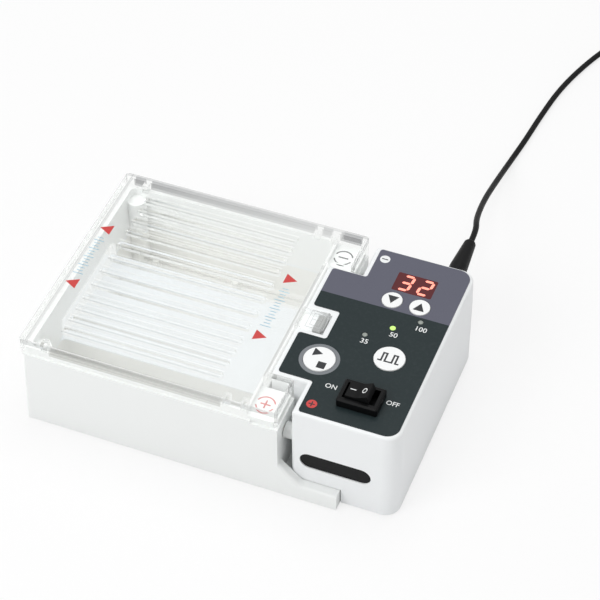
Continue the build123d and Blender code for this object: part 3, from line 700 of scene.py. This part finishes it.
def arrowhead(x, y, aim, base, tip, half):
    """A triangle's outline: its base lies behind (x, y), half to each side of aim, and its tip lies ahead."""
    ax, ay = aim
    return [
        (x - base * ax - half * ay, y - base * ay + half * ax),
        (x - base * ax + half * ay, y - base * ay - half * ax),
        (x + tip * ax, y + tip * ay),
    ]


def sign_bars(x, y, reach, half, plus):
    """Outlines of a minus sign, with two more bars that meet it where it is a plus sign."""
    bars = [bar(x - reach, x + reach, y - half, y + half)]
    if plus:
        bars += [bar(x - half, x + half, y + half, y + reach), bar(x - half, x + half, y - reach, y - half)]
    return bars


def frame_bars(x0, x1, y0, y1, t):
    """Outlines of a rectangular frame whose bars are t wide."""
    return [
        bar(x0, x1, y0, y0 + t), bar(x0, x1, y1 - t, y1),
        bar(x0, x0 + t, y0 + t, y1 - t), bar(x1 - t, x1, y0 + t, y1 - t),
    ]


def lettering(name, words, x, y, size):
    """A number or a word as a thin raised mesh, centred on its place on the film."""
    data = bpy.data.curves.new(name, "FONT")
    data.body = words
    data.size = size
    data.align_x = "CENTER"
    data.align_y = "CENTER"
    data.extrude = LETTER_THICK / 2
    data.offset = LETTER_SPREAD
    data.resolution_u = 4
    drawn = add_object(name + "_draft", data)
    bpy.context.view_layer.update()
    mesh = bpy.data.meshes.new_from_object(drawn)
    bpy.data.objects.remove(drawn)
    mesh.transform(Matrix.Translation((x, y, FILM_TOP + MARK)))
    mesh.name = name
    add_piece(name, mesh, PRINT_WHITE, "power_unit")


def panel_marks():
    """The lit lamp, numbers by the lamps, words at the switch and the signs at the corners."""
    lamp = slab([circle(*LIT_LAMP, LIT_LAMP_RADIUS)], LENS_TOP)
    put("lit_lamp", lamp, LAMP_GREEN, "power_unit")
    for words, x, y, size in PANEL_WORDS:
        lettering("mark_" + words.lower(), words, x, y, size)
    for name, (x, y), ink in (("plus", PLUS_DISC, PRINT_RED), ("minus", MINUS_DISC, PRINT_WHITE)):
        put(name + "_disc", slab([circle(x, y, DISC_RADIUS)], FILM_TOP), ink, "power_unit")
        bars = sign_bars(x, y, *DISC_SIGN, name == "plus")
        put(name + "_sign", slab(bars, FILM_TOP + MARK), PRINT_BLACK, "power_unit")


def pulse_bars(x, y):
    """Outlines of a line that steps up and down twice: bars 2 t wide, w apart, from h below to h above."""
    t, w, h = PULSE_HALF, PULSE_STEP, PULSE_REACH
    low = (y - h, y - h + 2 * t)
    high = (y + h - 2 * t, y + h)
    rise = (y - h + 2 * t, y + h)
    whole = (y - h, y + h)
    return [
        bar(x - 3 * w, x - 2 * w + t, *low),
        bar(x - 2 * w - t, x - 2 * w + t, *rise),
        bar(x - 2 * w + t, x - w - t, *high),
        bar(x - w - t, x - w + t, *whole),
        bar(x - w + t, x + w - t, *low),
        bar(x + w - t, x + w + t, *whole),
        bar(x + w + t, x + 2 * w - t, *high),
        bar(x + 2 * w - t, x + 2 * w + t, *rise),
        bar(x + 2 * w - t, x + 3 * w, *low),
    ]


def key_marks():
    """Arrowheads on the small keys, start and stop signs on the left key, a pulse on the right one."""
    for name, (x, y), sense in (("down", DOWN_KEY, -1), ("up", UP_KEY, 1)):
        arrow = arrowhead(x, y, (0, sense), *KEY_ARROW)
        put(name + "_arrow", slab([arrow], KEY_TOP), PRINT_BLACK, name + "_key")
    for name, outline in (("start", START_SIGN), ("stop", bar(*STOP_SIGN))):
        sign = np.add(outline, RUN_KEY)
        put(name + "_sign", slab([sign], KEY_TOP), PRINT_BLACK, "run_stop_key")
    put("pulse_sign", slab(pulse_bars(*PULSE_KEY), KEY_TOP), PRINT_BLACK, "voltage_key")


def digits():
    """Two seven-segment digits: six-sided bars, each point (u, v) leaning to (x + u + lean v, middle + v)."""
    outlines = []
    for lit, x in DIGITS:
        for u, v, upright in (SEGMENTS[letter] for letter in lit):
            t = DIGIT_THICK
            half = (DIGIT_HIGH if upright else DIGIT_WIDE) / 2 - DIGIT_GAP
            along = np.array([-half, -half + t, half - t, half, half - t, -half + t])
            across = np.array([0, t, t, 0, -t, -t])
            px, py = (across, along) if upright else (along, across)
            aside, up = u * DIGIT_WIDE + px, v * DIGIT_HIGH + py
            outline = np.column_stack((x + aside + DIGIT_LEAN * up, DIGIT_MIDDLE + up))
            outlines.append(outline if upright else outline[::-1])
    put("display_digits", slab(outlines, WINDOW_TOP), SEGMENT_RED, "power_unit")


def lid_marks():
    """A pale tick scale and two red arrowheads along each side of the lid."""
    for side, x, sense in LID_SIDES:
        for end, y in LID_ENDS:
            arrow = arrowhead(x, y, (sense, 0), *LID_ARROW)
            put(f"{side}_{end}_arrow", slab([arrow], LID_TOP), PRINT_RED, "lid")
        ticks = []
        for i, y in enumerate(TICK_ROWS):
            reach = TICK_SHORT if i % LONG_EVERY else TICK_LONG
            ticks.append(bar(x - reach, x + reach, y - TICK_HALF, y + TICK_HALF))
        put(f"{side}_scale", slab(ticks, LID_TOP), PRINT_BLUE, "lid")


def key_outline():
    """The fine lines on the lid's key: a frame, a smaller one inside it and a bar across."""
    x0, x1, y0, y1 = LID_KEY
    for name, inset in LID_KEY_FRAMES:
        bars = frame_bars(x0 + inset, x1 - inset, y0 + inset, y1 - inset, LID_KEY_LINE)
        put("key_frame_" + name, slab(bars, LID_TOP), PRINT_PALE, "lid")
    put("key_bar", slab([bar(*LID_KEY_BAR)], LID_TOP), PRINT_PALE, "lid")


def on_rocker(shape):
    """A flat shape laid on the dished face of the switch and turned with it about its pivot.

    z becomes z + valley + |x| tan dish. Then (x, z) becomes (x cos a - z sin a, x sin a + z cos a), where a
    is the tilt.
    """
    points, faces = shape
    x, y, z = points.T
    z = z + ROCKER_VALLEY + abs(x) * np.tan(radians(ROCKER_DISH))
    c, s = cos(radians(ROCKER_TILT)), sin(radians(ROCKER_TILT))
    return np.column_stack((x * c - z * s, y, x * s + z * c)) + ROCKER_PIVOT, faces


def rocker_marks():
    """A bar on the pressed flat of the switch and a ring, narrowed along X, on the raised one."""
    stroke = slab([bar(*ROCKER_BAR)], ROCKER_LIFT)
    put("switch_bar", on_rocker(stroke), PRINT_WHITE, "rocker_paddle")
    points, faces = ring_band(0.0, 0.0, ROCKER_RING, ROCKER_LIFT)
    points[:, 0] = points[:, 0] * ROCKER_RING_NARROW + ROCKER_RING_PLACE
    put("switch_ring", on_rocker((points, faces)), PRINT_WHITE, "rocker_paddle")


def ear_marks():
    """Plus and minus in a broken ring on the tank's ears, under the lid's tabs."""
    for name, y, ink in (("plus", -EAR_Y, PRINT_RED), ("minus", EAR_Y, PRINT_BLACK)):
        for half, start in EAR_ARC_STARTS:
            arc = ring_band(EAR_X, y, EAR_RING, EAR_TOP, start, EAR_ARC)
            put(f"ear_{name}_{half}_arc", arc, ink, "tank")
        bars = sign_bars(EAR_X, y, *EAR_SIGN, name == "plus")
        put(f"ear_{name}_sign", slab(bars, EAR_TOP), ink, "tank")


bpy.context.scene.view_settings.view_transform = "Standard"
make_camera()
make_lead()
set_light()
make_floor()
dress_nodes()
panel_marks()
key_marks()
digits()
lid_marks()
ear_marks()
key_outline()
rocker_marks()
